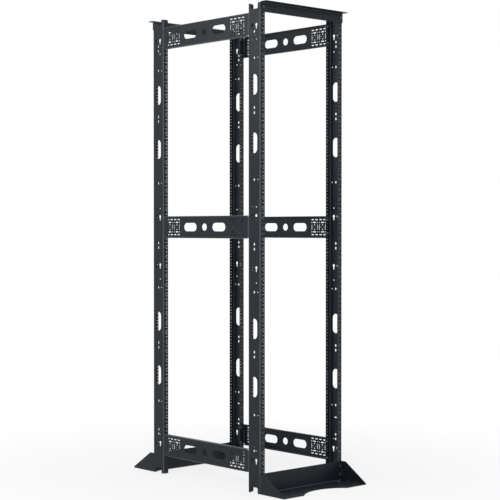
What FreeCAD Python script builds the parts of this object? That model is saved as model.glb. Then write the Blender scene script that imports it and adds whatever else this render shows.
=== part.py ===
"""Four post open frame rack for 19 inch equipment, in millimetres.

Frame: the origin is on the floor below the middle of the rack, +X runs across the equipment width,
-Y is the front and +Z is up. Every piece is folded steel sheet, bolted to its neighbours face to face.
"""
import FreeCAD, Part
import os
import Sketcher
from FreeCAD import Placement, Rotation, Vector

DRIVING_SIZES = {
    # equipment mounting: the 19 inch standard
    "unit_height": 44.45,
    "unit_count": 45,
    "unit_hole_offset": 6.35,
    "equipment_opening": 450.85,
    "equipment_hole_diameter": 6.6,
    # outside depth over the flanges of the front and rear posts
    "rack_depth": 749.3,
    # posts
    "post_depth": 76.2,
    "flange_width": 28.575,
    "hole_edge_distance": 7.125,
    "post_gauge": 2.66,
    "post_bend_radius": 1.6,
    "notch_width": 44.5,
    "notch_depth": 25.4,
    "notch_corner_radius": 6.0,
    "cable_hole_width": 38.1,
    "cable_hole_height": 88.9,
    "cable_hole_pitch": 254.0,
    "lowest_cable_hole_height": 463.6,
    "highest_cable_hole_drop": 353.0,
    # side brackets: the centres of two levels above the feet, and of the third below the post tops
    "bottom_bracket_rise": 47.3,
    "middle_bracket_rise": 1072.15,
    "top_bracket_drop": 88.9,
    "bracket_height": 101.6,
    "bracket_gauge": 2.0,
    "bracket_bend_radius": 1.5,
    "bracket_lip_width": 16.0,
    "bracket_relief": 7.0,
    "window_length": 88.9,
    "window_height": 38.1,
    "window_offset": 100.0,
    "centre_hole_diameter": 33.0,
    # top angles
    "angle_height": 44.45,
    "angle_depth": 38.1,
    "angle_gauge": 3.0,
    "angle_bend_radius": 2.0,
    "angle_corner_radius": 6.0,
    # feet
    "base_reach": 152.4,
    "base_height": 88.9,
    "base_gauge": 3.0,
    "base_bend_radius": 2.0,
    "gusset_flat": 26.0,
    "gusset_corner_radius": 8.0,
    "gusset_toe_height": 6.0,
    "toe_cut_width": 268.0,
    "toe_cut_depth": 55.0,
    "anchor_hole_diameter": 17.5,
    "anchor_hole_inset": 42.0,
    "anchor_hole_reach": 24.0,
}

document = FreeCAD.newDocument("FourPostRack")
sheet = document.addObject("Spreadsheet::Sheet", "Sizes")


class Size:
    """A length that knows its value and the spreadsheet expression that gives it."""

    def __init__(self, value, text):
        self.value = value
        self.text = text

    def joined(self, other, sign, value):
        return Size(value, f"({self.text} {sign} {as_size(other).text})")

    def __add__(self, other):
        return self.joined(other, "+", self.value + as_size(other).value)

    def __sub__(self, other):
        return self.joined(other, "-", self.value - as_size(other).value)

    def __mul__(self, other):
        return self.joined(other, "*", self.value * as_size(other).value)

    def __truediv__(self, other):
        return self.joined(other, "/", self.value / as_size(other).value)

    def __neg__(self):
        return Size(-self.value, f"(0 - {self.text})")


def as_size(number):
    """Return number as a Size, so that plain numbers and sizes mix in one sum."""
    if isinstance(number, Size):
        return number
    return Size(number, f"{number}")


def fill_sheet():
    """Write the driving sizes into the spreadsheet and return them by name."""
    sizes = {}
    for row, (name, value) in enumerate(DRIVING_SIZES.items(), start=1):
        sheet.set(f"A{row}", name)
        sheet.set(f"B{row}", f"{value}")
        sheet.setAlias(f"B{row}", name)
        sizes[name] = Size(value, f"Sizes.{name}")
    document.recompute()
    return sizes


def at(x, y):
    """The point x, y of a sketch, as a vector of plain numbers."""
    return Vector(as_size(x).value, as_size(y).value, 0)


class Drawing:
    """A sketch on one of a body's origin planes, with every point placed by the sheet."""

    def __init__(self, body, name, plane, offset=0):
        self.sketch = body.newObject("Sketcher::SketchObject", name)
        self.sketch.AttachmentSupport = [(origin_plane(body, plane), "")]
        self.sketch.MapMode = "FlatFace"
        self.sketch.setExpression(".AttachmentOffset.Base.z", as_size(offset).text)
        self.open_sides = []

    def fix(self, kind, *where, value):
        """Add one constraint whose value follows an expression."""
        length = as_size(value)
        index = self.sketch.addConstraint(Sketcher.Constraint(kind, *where, length.value))
        self.sketch.setExpression(f"Constraints[{index}]", length.text)

    def place(self, geometry, point, x, y):
        """Hold one point of the geometry at x, y."""
        self.fix("DistanceX", -1, 1, geometry, point, value=x)
        self.fix("DistanceY", -1, 1, geometry, point, value=y)

    def outline(self, points):
        """Draw a closed outline of straight lines through the points."""
        corners = [at(x, y) for x, y in points]
        lines = []
        for start, end in zip(corners, corners[1:] + corners[:1]):
            lines.append(self.sketch.addGeometry(Part.LineSegment(start, end), False))
        for line, following in zip(lines, lines[1:] + lines[:1]):
            self.sketch.addConstraint(Sketcher.Constraint("Coincident", line, 2, following, 1))
        for line, (x, y) in zip(lines, points):
            self.place(line, 1, x, y)

    def rectangle(self, left, right, bottom, top):
        """Draw an upright rectangle."""
        self.outline([(left, bottom), (right, bottom), (right, top), (left, top)])

    def circle(self, x, y, diameter):
        """Draw a circle."""
        radius = as_size(diameter) / 2
        ring = self.sketch.addGeometry(Part.Circle(at(x, y), Vector(0, 0, 1), radius.value), False)
        self.place(ring, 3, x, y)
        self.fix("Radius", ring, value=radius)

    def upright_slot(self, x, y, width, height):
        """Draw an obround hole that is taller than it is wide."""
        x, y = as_size(x), as_size(y)
        radius = width / 2
        straight = (height - width) / 2
        right, left, top, bottom = x + radius, x - radius, y + straight, y - straight
        self.slot_sides((right, bottom), (right, top), (x, top + radius))
        self.slot_sides((left, top), (left, bottom), (x, bottom - radius))
        self.close_slot("DistanceY", top, bottom)

    def level_slot(self, x, y, width, height):
        """Draw an obround hole that is wider than it is tall."""
        x, y = as_size(x), as_size(y)
        radius = height / 2
        straight = (width - height) / 2
        right, left, top, bottom = x + straight, x - straight, y + radius, y - radius
        self.slot_sides((left, bottom), (right, bottom), (right + radius, y))
        self.slot_sides((right, top), (left, top), (left - radius, y))
        self.close_slot("DistanceX", right, left)

    def slot_sides(self, start, end, crown):
        """Draw one straight side of a slot, and keep where its next half circle goes."""
        line = self.sketch.addGeometry(Part.LineSegment(at(*start), at(*end)), False)
        self.place(line, 1, *start)
        self.place(line, 2, *end)
        self.open_sides.append((line, start, end, crown))

    def close_slot(self, direction, *centres):
        """Join the two open sides with half circles, whose centres lie at these places along the slot."""
        first, second = self.open_sides
        for (line, _, end, crown), (following, start, _, _), centre in (
            (first, second, centres[0]),
            (second, first, centres[1]),
        ):
            arc = self.sketch.addGeometry(Part.Arc(at(*end), at(*crown), at(*start)), False)
            self.sketch.addConstraint(Sketcher.Constraint("Coincident", arc, 1, line, 2))
            self.sketch.addConstraint(Sketcher.Constraint("Coincident", arc, 2, following, 1))
            self.fix(direction, -1, 1, arc, 3, value=centre)
        self.open_sides = []


def origin_plane(body, role):
    """One of the body's own three origin planes."""
    return next(item for item in body.Origin.OriginFeatures if item.Role == role)


class Piece:
    """One sheet metal piece: a PartDesign body that is padded, cut and rounded step by step."""

    def __init__(self, name):
        self.body = document.addObject("PartDesign::Body", name)
        self.body.Label = name

    def drawing(self, name, plane, offset=0):
        return Drawing(self.body, name, plane, offset)

    def step(self, kind, name, **settings):
        """Add a feature, which becomes the body's tip."""
        feature = self.body.newObject(f"PartDesign::{kind}", name)
        for setting, value in settings.items():
            if isinstance(value, Size):
                feature.setExpression(setting, value.text)
            else:
                setattr(feature, setting, value)
        self.body.Tip = feature
        document.recompute()
        return feature

    def pad(self, name, drawing, length, side="Symmetric"):
        """Add the drawing's area, thickened by length."""
        return self.step("Pad", name, Profile=drawing.sketch, SideType=side, Length=length)

    def pocket(self, name, drawing, gauge):
        """Cut the drawing through the sheet of this gauge that starts or ends at the drawing's plane."""
        before = self.body.Shape.Volume
        cut = self.step("Pocket", name, Profile=drawing.sketch, SideType="Symmetric", Length=gauge * 4)
        if not self.body.Shape.Volume < before:
            raise RuntimeError(f"{self.body.Label}: {name} cuts nothing")
        return cut

    def repeat(self, name, original, length, count):
        """Repeat a feature upwards in its sketch, evenly over the length."""
        direction = (original.Profile[0], ["V_Axis"])
        return self.step(
            "LinearPattern", name, Originals=[original], Direction=direction, Length=length, Occurrences=count
        )

    def mirror(self, name, original, role):
        """Mirror a feature about one of the body's origin planes."""
        plane = (origin_plane(self.body, role), [""])
        return self.step("Mirrored", name, Originals=[original], MirrorPlane=plane)

    def fillet(self, name, axis, spots, radius):
        """Round the edges along the axis through the spots, each given by its two other coordinates."""
        places = [tuple(as_size(coordinate).value for coordinate in spot) for spot in spots]
        across = [index for index in range(3) if index != "XYZ".index(axis)]
        base = self.body.Tip
        chosen = []
        for number, edge in enumerate(base.Shape.Edges, start=1):
            ends = [[vertex.Point[index] for index in across] for vertex in edge.Vertexes]
            straight = edge.Curve.TypeId == "Part::GeomLine" and len(ends) == 2
            if straight and any(close(ends[0], place) and close(ends[1], place) for place in places):
                chosen.append(f"Edge{number}")
        if len(chosen) < len(places):
            raise RuntimeError(f"{self.body.Label}: {name} finds {len(chosen)} edges")
        return self.step("Fillet", name, Base=(base, chosen), Radius=radius)

    def put(self, x, y, z, turned_round=False):
        """Place the piece in the rack, as it was drawn or turned half way round the vertical."""
        self.body.Placement = Placement(Vector(), Rotation(Vector(0, 0, 1), 180 if turned_round else 0))
        for axis, distance in zip("xyz", (x, y, z)):
            self.body.setExpression(f"Placement.Base.{axis}", as_size(distance).text)
        return self.body


def close(point, place):
    """Whether two pairs of coordinates are the same place."""
    return all(abs(a - b) < 0.001 for a, b in zip(point, place))


size = fill_sheet()
post_depth = size["post_depth"]
post_gauge = size["post_gauge"]
units_height = size["unit_height"] * size["unit_count"]
post_height = size["base_height"] + units_height + size["angle_height"]
rack_width = size["equipment_opening"] + size["flange_width"] * 2
half_width = rack_width / 2
half_depth = size["rack_depth"] / 2


def make_post(name, stated_side=0):
    """A channel with its web on the rack's side and both flanges facing the equipment.

    Local frame: web outside on x = 0, depth centred on y = 0, lower end on z = 0. stated_side is -1 or 1
    for the flange at -y or +y that carries the equipment holes, or 0 for neither.
    """
    post = Piece(name)
    flange = size["flange_width"]
    outside = post_depth / 2
    inside = outside - post_gauge
    profile = post.drawing("Channel", "XY_Plane")
    profile.outline([
        (0, -outside), (flange, -outside), (flange, -inside), (post_gauge, -inside),
        (post_gauge, inside), (flange, inside), (flange, outside), (0, outside),
    ])
    post.pad("Post", profile, post_height, "One side")
    bend = size["post_bend_radius"]
    post.fillet("OuterBends", "Z", [(0, -outside), (0, outside)], bend + post_gauge)
    post.fillet("InnerBends", "Z", [(post_gauge, -inside), (post_gauge, inside)], bend)

    side, depth = size["notch_width"] / 2, size["notch_depth"]
    top_edge = post_height - depth
    ends = post.drawing("EndNotches", "YZ_Plane")
    ends.rectangle(-side, side, 0, depth)
    ends.rectangle(-side, side, top_edge, post_height)
    post.pocket("Notches", ends, post_gauge)
    corners = [(-side, depth), (side, depth), (-side, top_edge), (side, top_edge)]
    post.fillet("NotchCorners", "X", corners, size["notch_corner_radius"])

    pitch = size["cable_hole_pitch"]
    second_highest = post_height - size["highest_cable_hole_drop"] - pitch
    for word, height in (("Lower", size["lowest_cable_hole_height"]), ("Upper", second_highest)):
        web = post.drawing(f"{word}CableHole", "YZ_Plane")
        web.upright_slot(0, height, size["cable_hole_width"], size["cable_hole_height"])
        hole = post.pocket(f"{word}CableOpening", web, post_gauge)
        post.repeat(f"{word}CableOpenings", hole, pitch, 2)

    if stated_side:
        holes = post.drawing("EquipmentHoles", "XZ_Plane", outside * -stated_side)
        hole_x = flange - size["hole_edge_distance"]
        offset = size["unit_hole_offset"]
        for lift in (offset, size["unit_height"] - offset):
            holes.circle(hole_x, size["base_height"] + lift, size["equipment_hole_diameter"])
        lowest = post.pocket("LowestUnitHoles", holes, post_gauge)
        post.repeat("UnitHoles", lowest, units_height - size["unit_height"], 3)
    return post


def make_bracket(name):
    """A side bracket that ties a front post to a rear post: a channel with a tab turned inward at each end.

    Local frame: outer face on x = 0, centred on y = 0 and z = 0.
    """
    bracket = Piece(name)
    gauge, bend = size["bracket_gauge"], size["bracket_bend_radius"]
    tab, lip = size["flange_width"], size["bracket_lip_width"]
    half_length = half_depth - post_depth
    half_height = size["bracket_height"] / 2

    end = half_length - gauge
    plan = bracket.drawing("TabPlan", "XY_Plane")
    plan.outline([
        (0, -half_length), (tab, -half_length), (tab, -end), (gauge, -end),
        (gauge, end), (tab, end), (tab, half_length), (0, half_length),
    ])
    bracket.pad("FaceAndTabs", plan, (half_height - gauge - bend) * 2)
    bracket.fillet("TabBendsOutside", "Z", [(0, -half_length), (0, half_length)], bend + gauge)
    bracket.fillet("TabBendsInside", "Z", [(gauge, -end), (gauge, end)], bend)

    edge = half_height - gauge
    section = bracket.drawing("LipSection", "XZ_Plane")
    section.outline([
        (0, -half_height), (lip, -half_height), (lip, -edge), (gauge, -edge),
        (gauge, edge), (lip, edge), (lip, half_height), (0, half_height),
    ])
    bracket.pad("Lips", section, (half_length - size["bracket_relief"]) * 2)
    bracket.fillet("LipBendsOutside", "Y", [(0, -half_height), (0, half_height)], bend + gauge)

    face = bracket.drawing("FaceHoles", "YZ_Plane")
    for side in (-1, 1):
        face.level_slot(size["window_offset"] * side, 0, size["window_length"], size["window_height"])
    face.circle(0, 0, size["centre_hole_diameter"])
    bracket.pocket("FaceOpenings", face, gauge)
    return bracket


def make_top_angle(name):
    """An angle across the two post tops, its level leg just above them and pointing outward.

    Local frame: the posts' outer faces on y = 0, the post tops on z = 0, centred on x = 0.
    """
    angle = Piece(name)
    gauge, bend = size["angle_gauge"], size["angle_bend_radius"]
    depth, height = size["angle_depth"], size["angle_height"]
    section = angle.drawing("Section", "YZ_Plane")
    lower_edge = gauge - height
    section.outline([
        (0, gauge), (-depth, gauge), (-depth, 0), (-gauge, 0), (-gauge, lower_edge), (0, lower_edge),
    ])
    angle.pad("Legs", section, rack_width)
    angle.fillet("BendOutside", "X", [(0, gauge)], bend + gauge)
    angle.fillet("BendInside", "X", [(-gauge, 0)], bend)
    corners = [(-half_width, -depth), (half_width, -depth)]
    angle.fillet("Corners", "Z", corners, size["angle_corner_radius"])
    return angle


def make_base(name):
    """A folded foot: a plate behind, a floor plate reaching outward and a sloped gusset at each end.

    Local frame: the posts' outer faces on y = 0, the floor on z = 0, centred on x = 0.
    """
    base = Piece(name)
    gauge, bend = size["base_gauge"], size["base_bend_radius"]
    reach, height = size["base_reach"], size["base_height"]
    section = base.drawing("Section", "YZ_Plane")
    section.outline([(0, 0), (0, height), (-gauge, height), (-gauge, gauge), (-reach, gauge), (-reach, 0)])
    base.pad("Plates", section, rack_width)

    shoulder = (-size["gusset_flat"], height)
    side = base.drawing("GussetOutline", "YZ_Plane", half_width - gauge / 2)
    side.outline([(0, 0), (0, height), shoulder, (-reach, size["gusset_toe_height"]), (-reach, 0)])
    gusset = base.pad("RightGusset", side, gauge)
    base.mirror("LeftGusset", gusset, "YZ_Plane")
    base.fillet("GussetShoulders", "X", [shoulder], size["gusset_corner_radius"])
    base.fillet("BendOutside", "X", [(0, 0)], bend + gauge)
    base.fillet("BendInside", "X", [(-gauge, gauge)], bend)

    cuts = base.drawing("FloorCuts", "XY_Plane")
    half_cut, depth = size["toe_cut_width"] / 2, size["toe_cut_depth"]
    radius = (half_cut * half_cut + depth * depth) / (depth * 2)
    cuts.circle(0, depth - radius - reach, radius * 2)
    for hand in (-1, 1):
        anchor_x = (half_width - size["anchor_hole_inset"]) * hand
        cuts.circle(anchor_x, -size["anchor_hole_reach"], size["anchor_hole_diameter"])
    base.pocket("FloorOpenings", cuts, gauge)
    return base


pieces = []
post_y = half_depth - post_depth / 2
for end, y, face_y in (("front", -post_y, -half_depth), ("rear", post_y, half_depth)):
    is_front = end == "front"
    pieces.append(make_post(f"post_{end}_left", -1 if is_front else 0).put(-half_width, y, 0))
    pieces.append(make_post(f"post_{end}_right", 1 if is_front else 0).put(half_width, y, 0, turned_round=True))
    pieces.append(make_top_angle(f"top_angle_{end}").put(0, face_y, post_height, turned_round=not is_front))
    pieces.append(make_base(f"base_{end}").put(0, face_y, 0, turned_round=not is_front))

bracket_heights = {
    "bottom": size["base_height"] + size["bottom_bracket_rise"],
    "middle": size["base_height"] + size["middle_bracket_rise"],
    "top": post_height - size["top_bracket_drop"],
}
for level, height in bracket_heights.items():
    pieces.append(make_bracket(f"side_bracket_left_{level}").put(-half_width, 0, height))
    pieces.append(make_bracket(f"side_bracket_right_{level}").put(half_width, 0, height, turned_round=True))

document.recompute()
for item in document.Objects:
    if "Invalid" in item.State or "Error" in item.State:
        raise RuntimeError(f"{item.Name} failed: {item.State}")
for piece in pieces:
    if piece.Shape.isNull() or not piece.Shape.isValid() or len(piece.Shape.Solids) != 1:
        raise RuntimeError(f"{piece.Label} has no valid solid")

os.makedirs("parts", exist_ok=True)
for piece in pieces:
    piece.Shape.exportStep(f"parts/{piece.Label}.step")
    print(f"{piece.Label}: {piece.Shape.Volume / 1000:.1f} cm3")
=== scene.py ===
"""Looks of the four post open frame rack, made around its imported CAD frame.

Every steel piece is drawn as a flat blank with all its holes, given its thickness and eased edges,
and then folded along its bends. Lengths are in millimetres until a mesh is made, unless a name
ends in _M. Blender's metres are the frame's metres: +X across, -Y the front, +Z up from the floor.
"""
import math

import bpy
from mathutils import Matrix, Vector
from mathutils.geometry import delaunay_2d_cdt


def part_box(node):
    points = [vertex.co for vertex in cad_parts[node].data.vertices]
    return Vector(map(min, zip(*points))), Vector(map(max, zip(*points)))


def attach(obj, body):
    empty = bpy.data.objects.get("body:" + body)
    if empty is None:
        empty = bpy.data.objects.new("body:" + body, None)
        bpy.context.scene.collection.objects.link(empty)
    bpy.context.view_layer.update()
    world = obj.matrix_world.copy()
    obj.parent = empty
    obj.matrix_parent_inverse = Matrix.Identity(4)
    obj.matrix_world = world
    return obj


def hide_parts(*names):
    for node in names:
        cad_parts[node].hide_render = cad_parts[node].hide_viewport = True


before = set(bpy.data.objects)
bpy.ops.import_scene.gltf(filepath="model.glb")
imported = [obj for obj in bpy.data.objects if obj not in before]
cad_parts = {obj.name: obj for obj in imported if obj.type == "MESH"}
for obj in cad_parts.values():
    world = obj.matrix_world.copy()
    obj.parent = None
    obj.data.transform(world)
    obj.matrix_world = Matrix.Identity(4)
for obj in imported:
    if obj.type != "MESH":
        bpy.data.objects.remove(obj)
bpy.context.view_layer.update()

METRE = 1000.0
ENDS = ("front", "rear")
SIDES = ("left", "right")
LEVELS = ("bottom", "middle", "top")

# how finely shapes are drawn
EDGE = 0.35  # chamfer that eases every cut edge of the sheets
BEND_STEPS = 8
CORNER_STEPS = 6
RING_SIDES = 16
SMOOTH_ANGLE = 38  # edges that turn more than this stay crisp

# equipment mounting
RACK_UNIT = 44.45
UNIT_COUNT = 45
UNIT_HOLES = (6.35, 22.225, 38.1)  # above the lower edge of a unit
EQUIPMENT_HOLE = 6.6
EQUIPMENT_COLUMN = 21.45  # from the post's outer side

# the collar pressed up behind each tapped hole, and the thread in it
COLLAR_RADIUS = 4.6
COLLAR_HEIGHT = 3.0
COLLAR_FLARE = 0.6
COLLAR_ROOT = 0.3  # how far the collar reaches into the sheet
COLLAR_EDGE = 0.3
THREAD_CREST = 2.95
THREAD_ROOT = 3.28
THREAD_PITCH = 1.058
THREAD_BACK = 0.1  # wall of the thread's ring, sunk in the sheet and the collar
THREAD_RECESS = 0.3
THREAD_END_RECESS = 0.2

# posts
POST_GAUGE = 2.66
POST_BEND = 1.6
NOTCH_HALF_WIDTH = 22.25
NOTCH_DEPTH = 25.4
NOTCH_RADIUS = 6.0
CABLE_HOLE = (38.1, 88.9)
LOWER_CABLE_HOLES = (463.6, 717.6)
UPPER_CABLE_HOLE_DROPS = (353.0, 607.0)
KEYHOLE_FEET = (126.0, 965.2, 1192.2, 2020.2)
KEYHOLE_HEIGHT = 25.6
KEYHOLE_HEAD = 14.0
KEYHOLE_NECK = 7.5
WEB_PAIR_OFFSET = 12.7
WEB_DOT = 7.0
END_DOT = 5.0
OVAL = (9.0, 11.0)
STACKED_OVAL = (9.0, 12.5)
OUTER_DOT = 6.0
OUTER_DOT_OFFSET = 23.0
LONE_SLOT = (16.0, 5.0)  # in the right posts only
LONE_SLOT_HEIGHT = 285.0
PAIRED_DOTS = (917.0, 1248.5)
TOP_PAIR = {"left": 1975.0, "right": 1966.0}
END_OVALS = (185.0, 206.0, 1989.0, 2010.0)
STACKED_OVALS = (594.5, 616.0, 1064.5, 1086.0, 1657.5, 1680.0)
DOTTED_ROWS = (341.0, 877.0, 1367.0, 1896.0)

# side brackets
BRACKET_GAUGE = 2.0
BRACKET_BEND = 1.5
BRACKET_RELIEF = 7.0
BRACKET_LIP = 16.0
BRACKET_CORNER = 3.0
WINDOW = (88.9, 38.1)
WINDOW_OFFSET = 100.0
CENTRE_HOLE = 33.0
FIELD_OFFSET = 74.5  # from the bracket's end to the middle of its field of small holes
BRACKET_BOLT_OFFSET = 35.0  # about where a bracket's bolts go, above and below its centre
BRACKET_BOLT_LIMIT = 41.5

# the field's small holes, from its middle
FIELD_OUTER_ROWS = (-35.0, 35.0)
FIELD_INNER_ROWS = (-22.0, 22.0)
FIELD_DASH_COLUMNS = (-38.7, -13.2, 13.2, 38.7)
FIELD_EDGE_COLUMNS = (-44.0, 44.0)
FIELD_MIDDLE_COLUMNS = (-6.35, 6.35)
FIELD_HALF_COLUMNS = (-26.0, 26.0)
FIELD_HOLE_RISES = (-11.0, 11.0)
FIELD_DOT_SHIFTS = (-8.0, 8.0)
FIELD_DASH = (16.5, 4.4)
FIELD_LONG_HOLE = (18.0, 4.8)
FIELD_UPRIGHT_SLOT = (3.4, 25.0)
FIELD_HOLE = 6.0
FIELD_SMALL_HOLE = 4.8
FIELD_DOT = 3.0

# top angles and feet
FOLD_GAUGE = 3.0
FOLD_BEND = 2.0
ANGLE_CORNER = 6.0
TOE_CUT_WIDTH = 268.0
TOE_CUT_DEPTH = 55.0
ANCHOR_HOLE = 17.5
ANCHOR_INSET = 42.0
ANCHOR_REACH = 24.0
GUSSET_FLAT = 26.0
GUSSET_CORNER = 8.0
GUSSET_TOE = 6.0
GUSSET_TOE_CORNER = 1.5
BASE_BOLT_HOLE = 9.0
BASE_BOLT_INSET = 13.0
BASE_BOLT_HEIGHTS = (28.0, 66.0)
ANGLE_BOLT_HOLE = 7.0
ANGLE_BOLT_INSET = 15.0
ANGLE_BOLT_DROP = 22.5
UPRIGHT_WELD = (22, 62)  # heights of its ends
FLOOR_WELDS = ((-22, -52), (-82, -112))  # from the posts' faces
WELD_LEG = 3.008
WELD_SIDES = 7
WELD_RING_SPACING = 1.1
WELD_RIPPLE = 0.09
WELD_RIPPLE_TURN = 1.9  # from ring to ring, in radians
WELD_SINK = 0.4

# bolts
BRACKET_THREAD, ANGLE_THREAD, BASE_THREAD = 6, 6, 8
ACROSS_FLATS = {6: 10.0, 8: 13.0}  # by thread
WASHER_RATIO = 1.25  # of the width across the flats
WASHER_THICKNESS = 1.6
WASHER_EDGE = 0.25
WASHER_FOOT_EDGE = 0.2  # where it rests on the sheet
WASHER_SIDES = 24
HEAD_RATIO = 0.66  # height of the head, of the thread
NUT_RATIO = 0.8
HEXAGON_SIDES = 24
CHAMFER_START = 0.78  # of the head's height
CHAMFER_RADIUS = 0.95  # of half the width across the flats
TIP_LENGTH = 2.0
TIP_CHAMFER = 0.6
TIP_SUNK = 0.5
TIP_SIDES = 20
AXIS = 0.02  # radius at which a turned shell closes

# unit marks
NUMBER_SIZE = 5.2
TICK_HALF_LENGTH = 4.0
TICK_HALF_WIDTH = 0.65
MARK_HALF_THICKNESS = 0.04
TICK_SHIFT = 13.0  # from the post's outer side
NUMBER_SHIFT = 11.5
MARK_MARGIN = 4.0

# floor, light and camera
FLOOR_HALF_SIZE_M = 60.0
FLOOR_DROP_M = 0.0005
WORLD_STRENGTH = 0.4
SHADOW_NEAR_M, SHADOW_FAR_M = 0.3, 2.2  # between these the floor turns from shadowed to white
GLOW_NEAR, GLOW_FAR = 0.75, 1.0
CAMERA_PLACE_M = (-4.2437, -4.7415, 1.1529)
CAMERA_HEADING = 48.006
CAMERA_TILT = -0.886
CAMERA_LENS = 98.36
CAMERA_SENSOR = 36.0
CAMERA_REACH_M = 200.0


# ---------------------------------------------------------------- flat outlines

def arc(centre, radius, start, end, steps):
    """Points along an arc between two angles in degrees, both ends included."""
    angles = [math.radians(start + (end - start) * i / steps) for i in range(steps + 1)]
    return [(centre[0] + radius * math.cos(a), centre[1] + radius * math.sin(a)) for a in angles]


def circle(x, y, diameter, steps=16):
    return arc((x, y), diameter / 2, 0, 360, steps)[:-1]


def obround(x, y, width, height, steps=8):
    """A slot with half circles at its ends, in whichever direction is longer."""
    radius = min(width, height) / 2
    along = max(width, height) / 2 - radius
    if width > height:
        first, second, start = (x + along, y), (x - along, y), -90
    else:
        first, second, start = (x, y + along), (x, y - along), 0
    half, whole = start + 180, start + 360
    return arc(first, radius, start, half, steps) + arc(second, radius, half, whole, steps)


def keyhole(x, foot):
    """A round head with a narrower neck below it."""
    head, neck = KEYHOLE_HEAD / 2, KEYHOLE_NECK / 2
    middle = foot + KEYHOLE_HEIGHT - head
    meet = math.degrees(math.acos(neck / head))
    return arc((x, middle), head, -meet, 180 + meet, 14) + arc((x, foot + neck), neck, 180, 360, 8)


def rounded(points):
    """A polygon of (x, y, radius) corners with each corner rounded."""
    loop = []
    for before, corner, after in zip(points[-1:] + points[:-1], points, points[1:] + points[:1]):
        here, radius = Vector(corner[:2]), corner[2]
        if not radius:
            loop.append(tuple(here))
            continue
        back = (Vector(before[:2]) - here).normalized()
        ahead = (Vector(after[:2]) - here).normalized()
        half = back.angle(ahead) / 2
        centre = here + (back + ahead).normalized() * (radius / math.sin(half))
        first = here + back * (radius / math.tan(half)) - centre
        sweep = math.pi - 2 * half
        if back.cross(ahead) > 0:
            sweep = -sweep
        for i in range(CORNER_STEPS + 1):
            turned = Matrix.Rotation(sweep * i / CORNER_STEPS, 2) @ first
            loop.append(tuple(centre + turned))
    return loop


def area(loop):
    return sum(a[0] * b[1] - b[0] * a[1] for a, b in zip(loop, loop[1:] + loop[:1])) / 2


def shrunk(loop, distance):
    """The loop moved sideways into the metal, which lies on its left."""
    moved = []
    for before, here, after in zip(loop[-1:] + loop[:-1], loop, loop[1:] + loop[:1]):
        first = (Vector(here) - Vector(before)).normalized()
        second = (Vector(after) - Vector(here)).normalized()
        sides = Vector((-first.y, first.x)) + Vector((-second.y, second.x))
        reach = 2 / max(sides.length_squared, 0.5)
        moved.append((here[0] + sides.x * distance * reach, here[1] + sides.y * distance * reach))
    return moved


def holds(loop, x, y):
    """Whether the point lies inside the loop."""
    inside = False
    for (ax, ay), (bx, by) in zip(loop, loop[1:] + loop[:1]):
        if (ay > y) != (by > y) and x < (bx - ax) * (y - ay) / (by - ay) + ax:
            inside = not inside
    return inside


# ---------------------------------------------------------------- solids

class Solid:
    """Vertices and faces in millimetres, collected from closed shells."""

    def __init__(self):
        self.points = []
        self.faces = []
        self.bends = []

    def add(self, points, faces, bends=None, place=Matrix.Identity(4)):
        """Add one closed shell, turned the right way out.

        bends says how far each point is into a bend, which the powder coat turns into a painted
        highlight, and without it the shell is plain.
        """
        placed = [place @ Vector(p) for p in points]
        volume = 0.0
        for face in faces:
            for b, c in zip(face[1:], face[2:]):
                volume += placed[face[0]].dot(placed[b].cross(placed[c]))
        if volume < 0:
            faces = [tuple(reversed(face)) for face in faces]
        start = len(self.points)
        self.points += placed
        self.bends += bends or [0.0] * len(placed)
        self.faces += [tuple(start + i for i in face) for face in faces]

    def finish(self, name, material):
        """Make the object, with soft bends and crisp edges."""
        mesh = bpy.data.meshes.new(name)
        mesh.from_pydata([p / METRE for p in self.points], [], self.faces)
        mesh.validate()
        # the bend attribute is what the powder coat reads to paint a highlight along the bends
        mesh.attributes.new("bend", "FLOAT", "POINT").data.foreach_set("value", self.bends)
        mesh.polygons.foreach_set("use_smooth", [True] * len(mesh.polygons))
        mesh.set_sharp_from_angle(angle=math.radians(SMOOTH_ANGLE))
        mesh.materials.append(material)
        piece = bpy.data.objects.new(name, mesh)
        bpy.context.scene.collection.objects.link(piece)
        normals = piece.modifiers.new("flat faces stay flat", "WEIGHTED_NORMAL")
        normals.keep_sharp = True
        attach(piece, "root")
        return piece


def turned_ring(profile):
    """A ring whose section is the closed loop of (radius, height) points, turned about Z."""
    count = len(profile)
    turns = [2 * math.pi * i / RING_SIDES for i in range(RING_SIDES)]
    points = [(r * math.cos(a), r * math.sin(a), h) for a in turns for r, h in profile]
    faces = []
    for i in range(RING_SIDES):
        here, there = i * count, (i + 1) % RING_SIDES * count
        for k in range(count):
            following = (k + 1) % count
            faces.append((here + k, here + following, there + following, there + k))
    return points, faces


def capped_rings(points, sides):
    """Points in rings of as many sides, joined along their length and closed at both ends."""
    rings = len(points) // sides
    faces = []
    for ring in range(rings - 1):
        for i in range(sides):
            a, b = ring * sides + i, ring * sides + (i + 1) % sides
            faces.append((a, b, b + sides, a + sides))
    faces.append(tuple(reversed(range(sides))))
    faces.append(tuple(range((rings - 1) * sides, rings * sides)))
    return points, faces


def unbent(_u, _v):
    """The bends of a sheet that has none."""
    return 0.0


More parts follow.
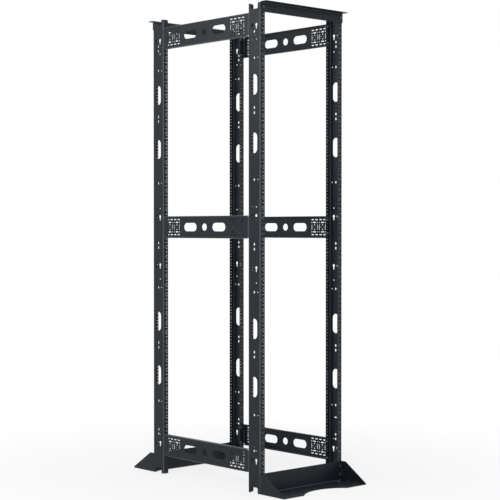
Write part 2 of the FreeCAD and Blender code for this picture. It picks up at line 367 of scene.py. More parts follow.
def folded_sheet(outline, holes, gauge, fold, bent=unbent, creases=()):
    """Points and faces of a sheet, drawn flat and then folded, and how far each point is into a bend.

    fold(u, v, lift) gives the place of the blank's point u, v, lifted from the middle of the sheet,
    and bent(u, v) is 0 on its flats and 1 in the middle of a bend. creases are pairs of outline
    points, joined by an edge across the blank so that a bend can curve there.
    """
    loops = [outline if area(outline) > 0 else outline[::-1]]
    loops += [hole if area(hole) < 0 else hole[::-1] for hole in holes]
    inner = [shrunk(loop, EDGE) for loop in loops]
    flat, owner, edges = [], [], []
    for number, loop in enumerate(inner):
        first = len(flat)
        flat += loop
        owner += [number] * len(loop)
        edges += [(first + i, first + (i + 1) % len(loop)) for i in range(len(loop))]
    spots = {(round(x, 3), round(y, 3)): i for i, (x, y) in enumerate(loops[0])}
    for ends in creases:
        edges.append(tuple(spots[round(x, 3), round(y, 3)] for x, y in ends))
    found = delaunay_2d_cdt([Vector(p) for p in flat], edges, [], 0, 1e-6)
    points, triangles, sources = found[0], found[2], found[3]
    if len(points) != len(flat):
        raise RuntimeError(f"{len(points) - len(flat)} crossings in a blank of {len(loops)} loops")
    origin = [source[0] for source in sources]

    kept = []
    for triangle in triangles:
        corners = [origin[i] for i in triangle]
        owners = {owner[i] for i in corners}
        if len(owners) == 1:
            number = owners.pop()
            x = sum(flat[i][0] for i in corners) / 3
            y = sum(flat[i][1] for i in corners) / 3
            if holds(inner[number], x, y) != (number == 0):
                continue
        kept.append(corners)

    half, count = gauge / 2, len(flat)
    border = [p for loop in loops for p in loop]
    rings = ((flat, half), (border, half - EDGE), (border, EDGE - half), (flat, -half))
    solid_points = [fold(x, y, lift) for ring, lift in rings for x, y in ring]
    # how far each point is into a bend, which the powder coat paints as a highlight
    bends = [bent(x, y) for ring, _ in rings for x, y in ring]
    faces = [tuple(corners) for corners in kept]
    faces += [tuple(3 * count + i for i in reversed(corners)) for corners in kept]
    first = 0
    for loop in loops:
        for i in range(len(loop)):
            a, b = first + i, first + (i + 1) % len(loop)
            for ring in range(3):
                upper, lower = ring * count, (ring + 1) * count
                faces.append((upper + a, lower + a, lower + b, upper + b))
        first += len(loop)
    return solid_points, faces, bends


def bulge(part, length):
    """0 at both ends of a bend and 1 in its middle."""
    return math.sin(math.pi * part / length) if 0 < part < length else 0.0


class Section:
    """The line along the middle of a folded sheet, as straight runs and bends in a plane."""

    def __init__(self, start, heading, gauge):
        self.gauge = gauge
        self.runs = []
        self.length = 0.0
        self.here, self.heading = Vector(start), math.radians(heading)

    def straight(self, length):
        self.runs.append((self.length, length, self.here.copy(), self.heading, 0.0))
        self.here += length * Vector((math.cos(self.heading), math.sin(self.heading)))
        self.length += length
        return self

    def bend(self, turn, inside_radius):
        """Bend by turn degrees, positive to the left."""
        turn, radius = math.radians(turn), inside_radius + self.gauge / 2
        length = abs(turn) * radius
        self.runs.append((self.length, length, self.here.copy(), self.heading, turn))
        self.here = self.at(self.length + length)[0]
        self.heading += turn
        self.length += length
        return self

    def at(self, distance):
        """The point at a distance along the blank, and the direction to its left."""
        start, length, here, heading, turn = self.runs[0]
        for run in self.runs:
            if distance >= run[0] - 1e-9:
                start, length, here, heading, turn = run
        part = distance - start
        if not turn:
            place = here + part * Vector((math.cos(heading), math.sin(heading)))
            return place, Vector((-math.sin(heading), math.cos(heading)))
        radius, side = length / abs(turn), math.copysign(1, turn)
        centre = here + side * radius * Vector((-math.sin(heading), math.cos(heading)))
        now = heading + turn * part / length
        left = Vector((-math.sin(now), math.cos(now)))
        return centre - side * radius * left, left

    def lifted(self, distance, lift):
        """The point at a distance along the blank, lifted off the middle of the sheet to the left."""
        place, left = self.at(distance)
        return place + left * lift

    def bent(self, distance, _across):
        """How far into a bend a point of the blank is, by its distance along it."""
        return max(bulge(distance - start, length) for start, length, _, _, turn in self.runs if turn)

    def bend_lines(self):
        """Distances along the blank where its bends are divided, their ends included."""
        return [
            start + length * i / BEND_STEPS
            for start, length, _, _, turn in self.runs if turn
            for i in range(BEND_STEPS + 1)
        ]


# ---------------------------------------------------------------- materials

def new_material(name, colour, roughness, metallic=0.0):
    """A material, its node tree and its shader."""
    material = bpy.data.materials.new(name)
    material.use_nodes = True
    tree = material.node_tree
    shader = tree.nodes["Principled BSDF"]
    shader.inputs["Base Color"].default_value = (*colour, 1)
    shader.inputs["Roughness"].default_value = roughness
    shader.inputs["Metallic"].default_value = metallic
    return material, tree, shader


def noise(tree, scale, detail=2.0, rough=0.5):
    """A noise in object space, whose scale is in cells for each metre."""
    texture = tree.nodes.new("ShaderNodeTexNoise")
    texture.inputs["Scale"].default_value = scale
    texture.inputs["Detail"].default_value = detail
    texture.inputs["Roughness"].default_value = rough
    where = tree.nodes.new("ShaderNodeTexCoord")
    tree.links.new(where.outputs["Object"], texture.inputs["Vector"])
    return texture.outputs["Fac"]


def mapped(tree, value, low, high, start=0.3, stop=0.7, interpolation="LINEAR"):
    """A value stretched to run between two numbers. A noise's own values lie between start and stop."""
    stretch = tree.nodes.new("ShaderNodeMapRange")
    stretch.interpolation_type = interpolation
    stretch.inputs["From Min"].default_value = start
    stretch.inputs["From Max"].default_value = stop
    stretch.inputs["To Min"].default_value = low
    stretch.inputs["To Max"].default_value = high
    tree.links.new(value, stretch.inputs["Value"])
    return stretch.outputs["Result"]


def clouded(tree, scale, detail, first, second):
    """A colour that drifts between two along a noise."""
    return blended(tree, mapped(tree, noise(tree, scale, detail), 0, 1), first, second)


def blended(tree, factor, first, second):
    """A colour between two, by a factor. Each is either plain or another node's."""
    mix = tree.nodes.new("ShaderNodeMix")
    mix.data_type = "RGBA"
    for socket, colour in (("A", first), ("B", second)):
        if isinstance(colour, tuple):
            mix.inputs[socket].default_value = (*colour, 1)
        else:
            tree.links.new(colour, mix.inputs[socket])
    tree.links.new(factor, mix.inputs["Factor"])
    return mix.outputs["Result"]


def roughen(tree, shader, height, depth_mm, strength):
    """Relief of the given depth from a height."""
    bump = tree.nodes.new("ShaderNodeBump")
    bump.inputs["Strength"].default_value = strength
    bump.inputs["Distance"].default_value = depth_mm / METRE
    tree.links.new(height, bump.inputs["Height"])
    tree.links.new(bump.outputs["Normal"], shader.inputs["Normal"])


def powder_coat():
    """Black powder coat on steel: a fine orange peel, cloudy changes in its sheen, and a painted
    highlight that lightens the bends.
    """
    material, tree, shader = new_material("black_powder_coat_with_painted_bend_highlight", (0.009, 0.013, 0.018), 0.4)
    shader.inputs["Specular IOR Level"].default_value = 0.2
    tint = clouded(tree, 6.0, 3.0, (0.0075, 0.0115, 0.0165), (0.0105, 0.0145, 0.0195))
    # painted highlight: the bend attribute, 1 in the middle of each bend, blends the coat towards pale
    # grey there, standing in for the light that the rounded bends catch
    bend = tree.nodes.new("ShaderNodeAttribute")
    bend.attribute_name = "bend"
    tint = blended(tree, bend.outputs["Fac"], tint, (0.085, 0.092, 0.108))
    tree.links.new(tint, shader.inputs["Base Color"])
    tree.links.new(mapped(tree, noise(tree, 45.0, 4.0), 0.32, 0.42), shader.inputs["Roughness"])
    roughen(tree, shader, noise(tree, 650.0, 2.0, 0.6), 0.08, 0.35)
    return material


def hardware_steel():
    """Dark zinc on bolts, nuts and washers, with small scuffs."""
    material, tree, shader = new_material("dark_zinc_hardware", (0.09, 0.095, 0.1), 0.35, 0.9)
    tint = clouded(tree, 300.0, 3.0, (0.07, 0.073, 0.078), (0.14, 0.145, 0.15))
    tree.links.new(tint, shader.inputs["Base Color"])
    tree.links.new(mapped(tree, noise(tree, 700.0, 2.0), 0.28, 0.46), shader.inputs["Roughness"])
    roughen(tree, shader, noise(tree, 1500.0), 0.03, 0.4)
    return material


def bare_thread():
    """Bare cut steel in the tapped holes, with the fine lines that the tap leaves."""
    material, tree, shader = new_material("tapped_bare_steel", (0.2, 0.2, 0.2), 0.42, 1.0)
    tint = clouded(tree, 900.0, 2.0, (0.11, 0.113, 0.116), (0.19, 0.19, 0.188))
    tree.links.new(tint, shader.inputs["Base Color"])
    tree.links.new(mapped(tree, noise(tree, 1400.0, 2.0), 0.34, 0.52), shader.inputs["Roughness"])
    return material


def mark_ink():
    """Pale screen print of the unit marks, slightly thin in places."""
    material, tree, shader = new_material("unit_mark_ink", (0.45, 0.46, 0.46), 0.6)
    tint = clouded(tree, 500.0, 3.0, (0.36, 0.37, 0.38), (0.5, 0.51, 0.51))
    tree.links.new(tint, shader.inputs["Base Color"])
    return material


POWDER = powder_coat()
HARDWARE = hardware_steel()
INK = mark_ink()
BARE = bare_thread()


# ---------------------------------------------------------------- steel pieces

def node_box(name):
    """A CAD node's box in millimetres."""
    low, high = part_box(name)
    return low * METRE, high * METRE


def hole_heights(end):
    """The heights of a post's mounting holes. The first unit starts at the top of the foot."""
    lowest = node_box(f"base_{end}")[1].z
    return [lowest + unit * RACK_UNIT + lift for unit in range(UNIT_COUNT) for lift in UNIT_HOLES]


def outer_side(side, low, high):
    """The outer face of a side piece, and the way in from there."""
    return (low.x, 1) if side == "left" else (high.x, -1)


def side_place(side, low, high, height):
    """Where a side piece stands: the right one is the left one mirrored."""
    outer, across = outer_side(side, low, high)
    place = Matrix.Translation((outer, (low.y + high.y) / 2, height))
    return place @ Matrix.Diagonal((across, 1, 1, 1))


def coated(solid, node):
    """Finish the sheet that takes a CAD node's place."""
    piece = solid.finish(f"{node}_sheet", POWDER)
    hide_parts(node)


def post_section(flange, depth):
    """From one flange's free edge around the web to the other's."""
    middle = depth / 2 - POST_GAUGE / 2
    corner = POST_BEND + POST_GAUGE
    section = Section((flange, -middle), 180, POST_GAUGE)
    section.straight(flange - corner).bend(-90, POST_BEND)
    section.straight(depth - 2 * corner).bend(-90, POST_BEND).straight(flange - corner)
    return section


def web_holes(middle, height, side):
    """All the holes in a post's web, in blank coordinates."""
    holes = []
    levels = LOWER_CABLE_HOLES + tuple(height - drop for drop in UPPER_CABLE_HOLE_DROPS)
    for level in levels:
        holes.append(obround(middle, level, *CABLE_HOLE, steps=14))
    for offset in (-WEB_PAIR_OFFSET, WEB_PAIR_OFFSET):
        for foot in KEYHOLE_FEET:
            holes.append(keyhole(middle + offset, foot))
        for level in PAIRED_DOTS + (TOP_PAIR[side],):
            holes.append(circle(middle + offset, level, WEB_DOT))
        holes.append(circle(middle + offset, END_OVALS[0], END_DOT, 12))
    for level in END_OVALS:
        holes.append(obround(middle, level, *OVAL))
    for level in STACKED_OVALS:
        holes.append(obround(middle, level, *STACKED_OVAL))
    for level in DOTTED_ROWS:
        holes.append(obround(middle, level, *OVAL))
        for offset in (-OUTER_DOT_OFFSET, OUTER_DOT_OFFSET):
            holes.append(circle(middle + offset, level, OUTER_DOT, 14))
    if side == "right":
        holes.append(obround(middle, LONE_SLOT_HEIGHT, *LONE_SLOT))
    return holes


def collar_shape():
    """The collar behind a tapped hole: from the sheet's outer face, its axis runs inward along Z."""
    bore = EQUIPMENT_HOLE / 2
    start, tip = POST_GAUGE - COLLAR_ROOT, POST_GAUGE + COLLAR_HEIGHT
    return turned_ring([
        (bore, start), (COLLAR_RADIUS + COLLAR_FLARE, start), (COLLAR_RADIUS, POST_GAUGE + COLLAR_FLARE),
        (COLLAR_RADIUS, tip - COLLAR_EDGE), (COLLAR_RADIUS - COLLAR_EDGE, tip), (bore, tip),
    ])


def thread_shape():
    """The tapped wall of a hole, as rings a pitch apart."""
    start, tip = THREAD_RECESS, POST_GAUGE + COLLAR_HEIGHT - THREAD_END_RECESS
    turns = int((tip - start) / THREAD_PITCH)
    back = EQUIPMENT_HOLE / 2 + THREAD_BACK
    profile = [(back, tip), (back, start), (THREAD_ROOT, start)]
    for turn in range(turns):
        crest = start + (turn + 0.5) * THREAD_PITCH
        profile += [(THREAD_CREST, crest), (THREAD_ROOT, crest + THREAD_PITCH / 2)]
    profile.append((THREAD_ROOT, tip))
    return turned_ring(profile)


def tapped_places(end, side):
    """Where each tapped hole of a post is: its outer face, with Z pointing into the channel."""
    low, high = node_box(f"post_{end}_{side}")
    outer, across = outer_side(side, low, high)
    bolted = {round(z, 2) for level in LEVELS for z in bolt_heights(side, level)}
    places = []
    for face, inward in ((low.y, 1), (high.y, -1)):
        upright = Matrix.Rotation(-inward * math.pi / 2, 4, "X")
        faces_bracket = (inward == -1) == (end == "front")
        for height in hole_heights(end):
            if not (faces_bracket and round(height, 2) in bolted):
                spot = (outer + across * EQUIPMENT_COLUMN, face, height)
                places.append(Matrix.Translation(spot) @ upright)
    return places


def make_post(end, side):
    node = f"post_{end}_{side}"
    low, high = node_box(node)
    flange, depth, height = high - low
    section = post_section(flange, depth)
    middle, total = section.length / 2, section.length
    lines = section.bend_lines()
    left, right = middle - NOTCH_HALF_WIDTH, middle + NOTCH_HALF_WIDTH
    top = height - NOTCH_DEPTH
    before, after = [s for s in lines if s < middle], [s for s in lines if s > middle]
    notch = NOTCH_RADIUS
    corners = (
        [(0, 0, 0)] + [(s, 0, 0) for s in before]
        + [(left, 0, 0), (left, NOTCH_DEPTH, notch), (right, NOTCH_DEPTH, notch), (right, 0, 0)]
        + [(s, 0, 0) for s in after] + [(total, 0, 0), (total, height, 0)]
        + [(s, height, 0) for s in reversed(after)]
        + [(right, height, 0), (right, top, notch), (left, top, notch), (left, height, 0)]
        + [(s, height, 0) for s in reversed(before)] + [(0, height, 0)]
    )
    outline = rounded(corners)
    creases = [((s, 0), (s, height)) for s in lines]

    holes = web_holes(middle, height, side)
    column = flange - EQUIPMENT_COLUMN
    for level in hole_heights(end):
        for across in (column, total - column):
            holes.append(circle(across, level, EQUIPMENT_HOLE))

    def fold(u, v, lift):
        x, y = section.lifted(u, lift)
        return x, y, v

    solid = Solid()
    sheet = folded_sheet(outline, holes, POST_GAUGE, fold, section.bent, creases)
    solid.add(*sheet, place=side_place(side, low, high, 0))
    threads = Solid()
    for spot in tapped_places(end, side):
        solid.add(*collar_shape(), place=spot)
        threads.add(*thread_shape(), place=spot)
    threads.finish(f"tapped_threads_{end}_{side}", BARE)
    coated(solid, node)


def bracket_field(centre):
    """The field of small round and long holes near one end of a bracket."""
    holes = []
    for row in FIELD_OUTER_ROWS:
        holes += [obround(centre + x, row, *FIELD_DASH, 6) for x in FIELD_DASH_COLUMNS]
    for row in FIELD_INNER_ROWS:
        holes += [circle(centre + x, row, FIELD_HOLE, 14) for x in FIELD_EDGE_COLUMNS]
        holes += [obround(centre + x, row, *FIELD_LONG_HOLE, 6) for x in FIELD_HALF_COLUMNS]
        holes += [circle(centre + x, row, FIELD_SMALL_HOLE, 14) for x in FIELD_MIDDLE_COLUMNS]
    for x in sorted(FIELD_EDGE_COLUMNS + FIELD_MIDDLE_COLUMNS):
        holes.append(obround(centre + x, 0, *FIELD_UPRIGHT_SLOT, 6))
    for x in FIELD_HALF_COLUMNS:
        holes += [circle(centre + x, y, FIELD_HOLE, 14) for y in FIELD_HOLE_RISES]
        holes += [circle(centre + x + shift, 0, FIELD_DOT, 10) for shift in FIELD_DOT_SHIFTS]
    return holes


def bolt_heights(side, level):
    """The two holes of the post that a bracket's bolts use: those nearest to its own bolt places."""
    low, high = node_box(f"side_bracket_{side}_{level}")
    middle = (low.z + high.z) / 2
    inside = [z for z in hole_heights("front") if abs(z - middle) < BRACKET_BOLT_LIMIT]
    return [
        min(inside, key=lambda z: abs(z - middle - offset))
        for offset in (-BRACKET_BOLT_OFFSET, BRACKET_BOLT_OFFSET)
    ]


def make_bracket(side, level):
    node = f"side_bracket_{side}_{level}"
    low, high = node_box(node)
    tab, length, height = high - low
    half_length, half_height = length / 2, height / 2
    corner = BRACKET_GAUGE + BRACKET_BEND
    ends, lips = half_length - corner, half_height - corner
    lip_end = half_length - BRACKET_RELIEF
    bend_length = math.pi / 2 * (BRACKET_BEND + BRACKET_GAUGE / 2)
    steps = [bend_length * i / BEND_STEPS for i in range(BEND_STEPS + 1)]
    tab_flat = ends + bend_length + tab - corner
    lip_flat = lips + bend_length + BRACKET_LIP - corner

    quarter = [(tab_flat, lips, BRACKET_CORNER)]
    quarter += [(ends + s, lips, 0) for s in reversed(steps)]
    quarter += [(lip_end, lips, 0)]
    quarter += [(lip_end, lips + s, 0) for s in steps[1:]]
    quarter += [(lip_end, lip_flat, BRACKET_CORNER)]
    mirrored = [(-x, y, r) for x, y, r in reversed(quarter)]
    upper = quarter + mirrored
    outline = rounded(upper + [(-x, -y, r) for x, y, r in upper])
    creases = []
    for s in steps:
        creases += [((x, -lips), (x, lips)) for x in (-(ends + s), ends + s)]
        creases += [((-lip_end, y), (lip_end, y)) for y in (-(lips + s), lips + s)]

    holes = [circle(0, 0, CENTRE_HOLE, 40)]
    middle = (low.z + high.z) / 2
    for hand in (-1, 1):
        holes.append(obround(WINDOW_OFFSET * hand, 0, *WINDOW, steps=16))
        holes += bracket_field((half_length - FIELD_OFFSET) * hand)
        bolt_column = (ends + bend_length + EQUIPMENT_COLUMN - corner) * hand
        holes += [circle(bolt_column, z - middle, EQUIPMENT_HOLE) for z in bolt_heights(side, level)]

    bend = Section((-1, BRACKET_GAUGE / 2), 0, BRACKET_GAUGE)
    bend.straight(1).bend(90, BRACKET_BEND).straight(tab)

    def fold(u, v, lift):
        x, y, z = BRACKET_GAUGE / 2 - lift, u, v
        if abs(u) > ends:
            along, x = bend.lifted(1 + abs(u) - ends, -lift)
            y = math.copysign(ends + along, u)
        elif abs(v) > lips:
            along, x = bend.lifted(1 + abs(v) - lips, -lift)
            z = math.copysign(lips + along, v)
        return x, y, z

    def bent(u, v):
        return bulge(max(abs(u) - ends, abs(v) - lips), bend_length)

    solid = Solid()
    sheet = folded_sheet(outline, holes, BRACKET_GAUGE, fold, bent, creases)
    solid.add(*sheet, place=side_place(side, low, high, middle))
    coated(solid, node)


def end_place(low, high, end, height):
    """Where a front or rear piece stands: the rear one is the front one turned half way round."""
    face, turn = (high.y, 0) if end == "front" else (low.y, math.pi)
    return Matrix.Translation(((low.x + high.x) / 2, face, height)) @ Matrix.Rotation(turn, 4, "Z")


def along_x(section):
    """Fold a blank whose u runs along the section and whose v runs along X."""
    def fold(u, v, lift):
        y, z = section.lifted(u, lift)
        return v, y, z
    return fold


def strip_outline(section, half_width, far_corner=0.0, far_edge=()):
    """The outline of a strip folded along X, and its creases."""
    lines = section.bend_lines()
    corners = [(0, -half_width, 0)] + [(s, -half_width, 0) for s in lines]
    corners += [(section.length, -half_width, far_corner)]
    corners += [(x, y, 0) for x, y in far_edge]
    corners += [(section.length, half_width, far_corner)]
    corners += [(s, half_width, 0) for s in reversed(lines)] + [(0, half_width, 0)]
    return rounded(corners), [((s, -half_width), (s, half_width)) for s in lines]


def make_top_angle(end):
    node = f"top_angle_{end}"
    low, high = node_box(node)
    depth, height = high.y - low.y, high.z - low.z
    corner = FOLD_GAUGE + FOLD_BEND
    section = Section((-FOLD_GAUGE / 2, -height), 90, FOLD_GAUGE)
    section.straight(height - corner).bend(90, FOLD_BEND).straight(depth - corner)
    half_width = (high.x - low.x) / 2
    outline, creases = strip_outline(section, half_width, ANGLE_CORNER)
    column = half_width - ANGLE_BOLT_INSET
    holes = [circle(height - ANGLE_BOLT_DROP, column * hand, ANGLE_BOLT_HOLE) for hand in (-1, 1)]
    solid = Solid()
    sheet = folded_sheet(outline, holes, FOLD_GAUGE, along_x(section), section.bent, creases)
    solid.add(*sheet, place=end_place(low, high, end, high.z))
    coated(solid, node)


def weld_bead(start, end, first_side, second_side):
    """A rippled fillet weld in the corner between two faces, from start to end, thinner at both ends."""
    start, end = Vector(start), Vector(end)
    first_side, second_side = Vector(first_side), Vector(second_side)
    lengths = int((end - start).length / WELD_RING_SPACING)
    quarters = [math.pi / 2 * i / (WELD_SIDES - 1) for i in range(WELD_SIDES)]
    points = []
    for ring in range(lengths + 1):
        share = ring / lengths
        taper = min(1.0, 4 * share + 0.25, 4 * (1 - share) + 0.25)
        size = WELD_LEG * taper * (1 + WELD_RIPPLE * math.sin(ring * WELD_RIPPLE_TURN))
        base = start.lerp(end, share)
        points.append(base - WELD_SINK * (first_side + second_side))
        points += [
            base + size * (first_side * math.cos(a) + second_side * math.sin(a)) for a in quarters
        ]
    return capped_rings(points, WELD_SIDES + 1)


def make_base(end):
    node = f"base_{end}"
    low, high = node_box(node)
    reach, height = high.y - low.y, high.z - low.z
    half_width = (high.x - low.x) / 2
    corner = FOLD_GAUGE + FOLD_BEND
    section = Section((-FOLD_GAUGE / 2, height), -90, FOLD_GAUGE)
    section.straight(height - corner).bend(-90, FOLD_BEND).straight(reach - corner)
    inside = half_width - FOLD_GAUGE
    half_cut, cut = TOE_CUT_WIDTH / 2, TOE_CUT_DEPTH
    radius = (half_cut ** 2 + cut ** 2) / (2 * cut)
    half_angle = math.degrees(math.asin(half_cut / radius))
    toe_centre = (section.length - cut + radius, 0)
    toe = arc(toe_centre, radius, 180 + half_angle, 180 - half_angle, 32)
    outline, creases = strip_outline(section, inside, 0, toe)
    anchor_row = section.length - reach + ANCHOR_REACH
    holes = []
    for hand in (-1, 1):
        holes.append(circle(anchor_row, (half_width - ANCHOR_INSET) * hand, ANCHOR_HOLE, 32))
        column = (half_width - BASE_BOLT_INSET) * hand
        holes += [circle(height - level, column, BASE_BOLT_HOLE, 20) for level in BASE_BOLT_HEIGHTS]
    place = end_place(low, high, end, 0)
    solid = Solid()
    sheet = folded_sheet(outline, holes, FOLD_GAUGE, along_x(section), section.bent, creases)
    solid.add(*sheet, place=place)

    gusset = rounded([
        (0, 0, corner), (0, height, 0), (-GUSSET_FLAT, height, GUSSET_CORNER),
        (-reach, GUSSET_TOE, GUSSET_TOE_CORNER), (-reach, 0, 0),
    ])
    for hand in (-1, 1):
        middle = (half_width - FOLD_GAUGE / 2) * hand

        def fold(u, v, lift, middle=middle):
            return middle + lift, u, v

        solid.add(*folded_sheet(gusset, [], FOLD_GAUGE, fold), place=place)
        wall, into = inside * hand, (-hand, 0, 0)
        foot, top = ((wall, -FOLD_GAUGE, z) for z in UPRIGHT_WELD)
        solid.add(*weld_bead(foot, top, into, (0, -1, 0)), place=place)
        for weld in FLOOR_WELDS:
            near, far = ((wall, y, FOLD_GAUGE) for y in weld)
            solid.add(*weld_bead(near, far, into, (0, 0, 1)), place=place)
    coated(solid, node)


for end in ENDS:
    for side in SIDES:
        make_post(end, side)
    make_top_angle(end)
    make_base(end)
for side in SIDES:
    for level in LEVELS:
        make_bracket(side, level)


# ---------------------------------------------------------------- bolts

def turned_disc(profile, sides):
    """A closed shell from (radius, height) points turned about Z."""
    turns = [2 * math.pi * i / sides for i in range(sides)]
    points = [(r * math.cos(a), r * math.sin(a), h) for r, h in profile for a in turns]
    return capped_rings(points, sides)


def hexagon(across_flats, height, start):
    """A hexagon head whose corners are turned down to a chamfer."""
    flat = across_flats / 2
    points = []
    for level in (0.0, height * CHAMFER_START, height):
        for i in range(HEXAGON_SIDES):
            angle = 2 * math.pi * i / HEXAGON_SIDES
            radius = flat / math.cos(math.fmod(angle, math.pi / 3) - math.pi / 6)
            if level == height:
                radius = min(radius, flat * CHAMFER_RADIUS)
            points.append((radius * math.cos(angle), radius * math.sin(angle), start + level))
    return capped_rings(points, HEXAGON_SIDES)


def fasten(solid, thread, head_side, way, grip):
    """Add a bolt with its washers and nut.

    The head's washer rests on head_side, and the bolt runs along Y, forward or back as way says.
    """
    across = ACROSS_FLATS[thread]
    direction = Vector((0, way, 0))
    facing = (-direction).to_track_quat("Z", "Y").to_matrix().to_4x4()
    head = Matrix.Translation(head_side) @ facing
    nut_side = Vector(head_side) + direction * grip
    nut = Matrix.Translation(nut_side) @ Matrix.Rotation(math.pi, 4, "X") @ facing
    rim, thick = across * WASHER_RATIO / 2, WASHER_THICKNESS
    washer = [
        (AXIS, 0), (rim - WASHER_FOOT_EDGE, 0), (rim, WASHER_EDGE), (rim, thick - WASHER_EDGE),
        (rim - WASHER_EDGE, thick), (AXIS, thick),
    ]
    for spot in (head, nut):
        solid.add(*turned_disc(washer, WASHER_SIDES), place=spot)
    solid.add(*hexagon(across, thread * HEAD_RATIO, thick), place=head)
    solid.add(*hexagon(across, thread * NUT_RATIO, thick), place=nut)
    end, radius = thick + thread * NUT_RATIO, thread / 2
    shoulder, last = end + TIP_LENGTH, end + TIP_LENGTH + TIP_CHAMFER
    tip = [
        (AXIS, end - TIP_SUNK), (radius, end - TIP_SUNK), (radius, shoulder),
        (radius - TIP_CHAMFER, last), (AXIS, last),
    ]
    solid.add(*turned_disc(tip, TIP_SIDES), place=nut)


def make_bracket_bolts(side, level):
    low, high = node_box(f"side_bracket_{side}_{level}")
    outer, across = outer_side(side, low, high)
    column = outer + across * EQUIPMENT_COLUMN
    solid = Solid()
    for face, way in ((low.y + BRACKET_GAUGE, -1), (high.y - BRACKET_GAUGE, 1)):
        for height in bolt_heights(side, level):
            fasten(solid, BRACKET_THREAD, (column, face, height), way, BRACKET_GAUGE + POST_GAUGE)
    solid.finish(f"bracket_bolts_{side}_{level}", HARDWARE)


def make_end_bolts(end):
    """The bolts that hold a foot and a top angle to the two posts."""
    low, high = node_box(f"base_{end}")
    angle_top = node_box(f"top_angle_{end}")[1].z
    posts_face, way = (high.y, 1) if end == "front" else (low.y, -1)
    face = posts_face - FOLD_GAUGE * way
    half_width = (high.x - low.x) / 2
    for name, thread, inset, heights in (
        ("base", BASE_THREAD, BASE_BOLT_INSET, BASE_BOLT_HEIGHTS),
        ("angle", ANGLE_THREAD, ANGLE_BOLT_INSET, (angle_top - ANGLE_BOLT_DROP,)),
    ):
        solid = Solid()
        for hand in (-1, 1):
            for height in heights:
                spot = ((half_width - inset) * hand, face, height)
                fasten(solid, thread, spot, way, FOLD_GAUGE + POST_GAUGE)
        solid.finish(f"{name}_bolts_{end}", HARDWARE)


for side in SIDES:
    for level in LEVELS:
        make_bracket_bolts(side, level)
for end in ENDS:
    make_end_bolts(end)


# ---------------------------------------------------------------- unit marks

def number_shapes():
    """The numbers 1 to 45 as thin solids, each about its own middle, in millimetres."""
    shapes = {}
    for number in range(1, UNIT_COUNT + 1):
        curve = bpy.data.curves.new(f"number_{number}", "FONT")
        curve.body = str(number)
        curve.size = NUMBER_SIZE / METRE
        curve.align_x = "CENTER"
        curve.align_y = "CENTER"
        curve.resolution_u = 2
        curve.extrude = MARK_HALF_THICKNESS / METRE
        maker = bpy.data.objects.new("number_maker", curve)
        bpy.context.scene.collection.objects.link(maker)
        bpy.context.view_layer.update()
        evaluated = maker.evaluated_get(bpy.context.evaluated_depsgraph_get())
        mesh = bpy.data.meshes.new_from_object(evaluated)
        spots = {}
        merged = [
            spots.setdefault(tuple(round(c, 4) for c in v.co * METRE), len(spots)) for v in mesh.vertices
        ]
        faces = [tuple(merged[i] for i in face.vertices) for face in mesh.polygons]
        shapes[number] = (list(spots), [face for face in faces if len(set(face)) == len(face)])
        bpy.data.objects.remove(maker)
        bpy.data.curves.remove(curve)
        bpy.data.meshes.remove(mesh)
    return shapes


def tick_shape():
    """The thin bar that marks the line between two units."""
    x, y, z = TICK_HALF_LENGTH, TICK_HALF_WIDTH, MARK_HALF_THICKNESS
    points = [(a * x, b * y, c * z) for a in (-1, 1) for b in (-1, 1) for c in (-1, 1)]
    faces = [(0, 1, 3, 2), (4, 6, 7, 5), (0, 4, 5, 1), (2, 3, 7, 6), (0, 2, 6, 4), (1, 5, 7, 3)]
    return points, faces


NUMBERS = number_shapes()
TICK = tick_shape()


def make_marks(end, side):
    """The marks on both flanges of a post, but for those under a bracket, a foot or a top angle."""
    low, high = node_box(f"post_{end}_{side}")
    foot = node_box(f"base_{end}")[1].z
    brackets = [node_box(f"side_bracket_{side}_{level}") for level in LEVELS]
    bracket_covers = [(a.z, b.z) for a, b in brackets]
    end_covers = [(low.z, foot), (high.z - RACK_UNIT, high.z)]
    outer, across = outer_side(side, low, high)
    solid = Solid()
    for face, facing in ((low.y, -1), (high.y, 1)):
        covers = bracket_covers if (facing == 1) == (end == "front") else end_covers
        upright = Matrix(((-facing, 0, 0, 0), (0, 0, facing, 0), (0, 1, 0, 0), (0, 0, 0, 1)))
        marks = [(foot + unit * RACK_UNIT, TICK_SHIFT, TICK) for unit in range(UNIT_COUNT + 1)]
        marks += [
            (foot + (unit + 0.5) * RACK_UNIT, NUMBER_SHIFT, NUMBERS[unit + 1])
            for unit in range(UNIT_COUNT)
        ]
        for height, shift, shape in marks:
            if any(a - MARK_MARGIN < height < b + MARK_MARGIN for a, b in covers):
                continue
            spot = Matrix.Translation((outer + across * shift, face, height)) @ upright
            solid.add(*shape, place=spot)
    solid.finish(f"unit_marks_{end}_{side}", INK)


for end in ENDS:
    for side in SIDES:
        make_marks(end, side)


# ---------------------------------------------------------------- floor, light and camera

def combined(tree, operation, first, second):
    """One number from two."""
    node = tree.nodes.new("ShaderNodeMath")
    node.operation = operation
    tree.links.new(first, node.inputs[0])
    tree.links.new(second, node.inputs[1])
    return node.outputs["Value"]


def seen_directly(tree):
    """1 for rays from the camera and for reflections, 0 for the rays that light the object."""
    rays = tree.nodes.new("ShaderNodeLightPath")
    factor = rays.outputs["Is Camera Ray"]
    for kind in ("Is Glossy Ray", "Is Transmission Ray"):
        factor = combined(tree, "MAXIMUM", factor, rays.outputs[kind])
    return factor


def shade(tree, output_kind, factor, first, second):
    """End the tree with first where the factor is 0 and second where it is 1."""
    mix = tree.nodes.new("ShaderNodeMixShader")
    output = tree.nodes.new(output_kind)
    tree.links.new(factor, mix.inputs["Fac"])
    tree.links.new(first, mix.inputs[1])
    tree.links.new(second, mix.inputs[2])
    tree.links.new(mix.outputs["Shader"], output.inputs["Surface"])


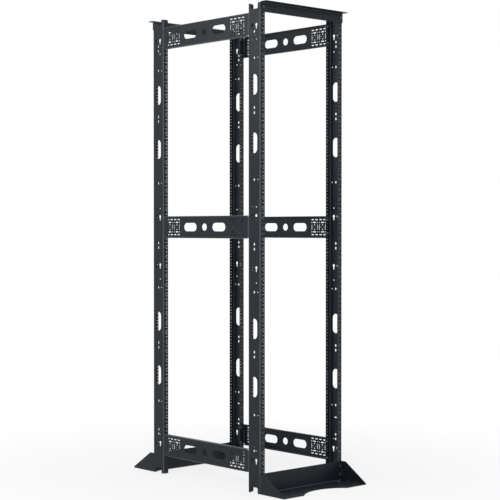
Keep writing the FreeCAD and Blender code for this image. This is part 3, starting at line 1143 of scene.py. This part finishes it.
def backdrop_material():
    """Plain pale floor: white to the eye, keeping a share of the object's shadow near it."""
    material = bpy.data.materials.new("pale_floor")
    material.use_nodes = True
    tree = material.node_tree
    tree.nodes.clear()
    diffuse = tree.nodes.new("ShaderNodeBsdfDiffuse")
    diffuse.inputs["Color"].default_value = (0.9, 0.9, 0.9, 1)
    glow = tree.nodes.new("ShaderNodeEmission")
    glow.inputs["Strength"].default_value = 1.0
    where = tree.nodes.new("ShaderNodeTexCoord")
    distance = tree.nodes.new("ShaderNodeVectorMath")
    distance.operation = "LENGTH"
    tree.links.new(where.outputs["Object"], distance.inputs[0])
    fade = mapped(
        tree, distance.outputs["Value"], GLOW_NEAR, GLOW_FAR, SHADOW_NEAR_M, SHADOW_FAR_M, "SMOOTHSTEP",
    )
    share = combined(tree, "MULTIPLY", fade, seen_directly(tree))
    shade(tree, "ShaderNodeOutputMaterial", share, diffuse.outputs["BSDF"], glow.outputs["Emission"])
    return material


def make_floor():
    mesh = bpy.data.meshes.new("floor")
    far = FLOOR_HALF_SIZE_M
    corners = [(x, y, -FLOOR_DROP_M) for x, y in ((-far, -far), (far, -far), (far, far), (-far, far))]
    mesh.from_pydata(corners, [], [(0, 1, 2, 3)])
    mesh.materials.append(backdrop_material())
    floor = bpy.data.objects.new("floor", mesh)
    bpy.context.scene.collection.objects.link(floor)


def make_world():
    """White to the camera and to reflections, and a soft even light on everything else."""
    world = bpy.data.worlds.new("studio")
    world.use_nodes = True
    tree = world.node_tree
    tree.nodes.clear()
    lights = []
    for strength in (WORLD_STRENGTH, 1.0):
        background = tree.nodes.new("ShaderNodeBackground")
        background.inputs["Color"].default_value = (1, 1, 1, 1)
        background.inputs["Strength"].default_value = strength
        lights.append(background.outputs["Background"])
    shade(tree, "ShaderNodeOutputWorld", seen_directly(tree), *lights)
    bpy.context.scene.world = world


def soft_box(name, place_m, target_m, size_m, power):
    """A rectangular lamp that faces the target."""
    light = bpy.data.lights.new(name, "AREA")
    light.shape = "RECTANGLE"
    light.size, light.size_y = size_m
    light.energy = power
    lamp = bpy.data.objects.new(name, light)
    lamp.location = place_m
    lamp.rotation_euler = (Vector(target_m) - Vector(place_m)).to_track_quat("-Z", "Y").to_euler()
    bpy.context.scene.collection.objects.link(lamp)


def make_camera():
    """A long lens a little above the rack's middle, turned to its front left corner."""
    data = bpy.data.cameras.new("camera")
    data.sensor_width = CAMERA_SENSOR
    data.lens = CAMERA_LENS
    data.clip_end = CAMERA_REACH_M
    camera = bpy.data.objects.new("camera", data)
    camera.location = CAMERA_PLACE_M
    heading, tilt = math.radians(CAMERA_HEADING), math.radians(CAMERA_TILT)
    level = math.cos(tilt)
    view = Vector((level * math.cos(heading), level * math.sin(heading), math.sin(tilt)))
    camera.rotation_euler = view.to_track_quat("-Z", "Y").to_euler()
    bpy.context.scene.collection.objects.link(camera)
    bpy.context.scene.camera = camera


make_floor()
make_world()
soft_box("key_front", (-2.9, -2.9, 2.1), (0.0, 0.0, 1.4), (0.5, 2.4), 80)
soft_box("side_left", (-1.9, 1.0, 2.5), (0.0, -0.2, 1.9), (0.8, 1.2), 9)
soft_box("top", (0.0, 0.0, 4.2), (0.0, 0.0, 0.0), (2.4, 2.4), 45)
make_camera()
bpy.context.scene.view_settings.view_transform = "Standard"
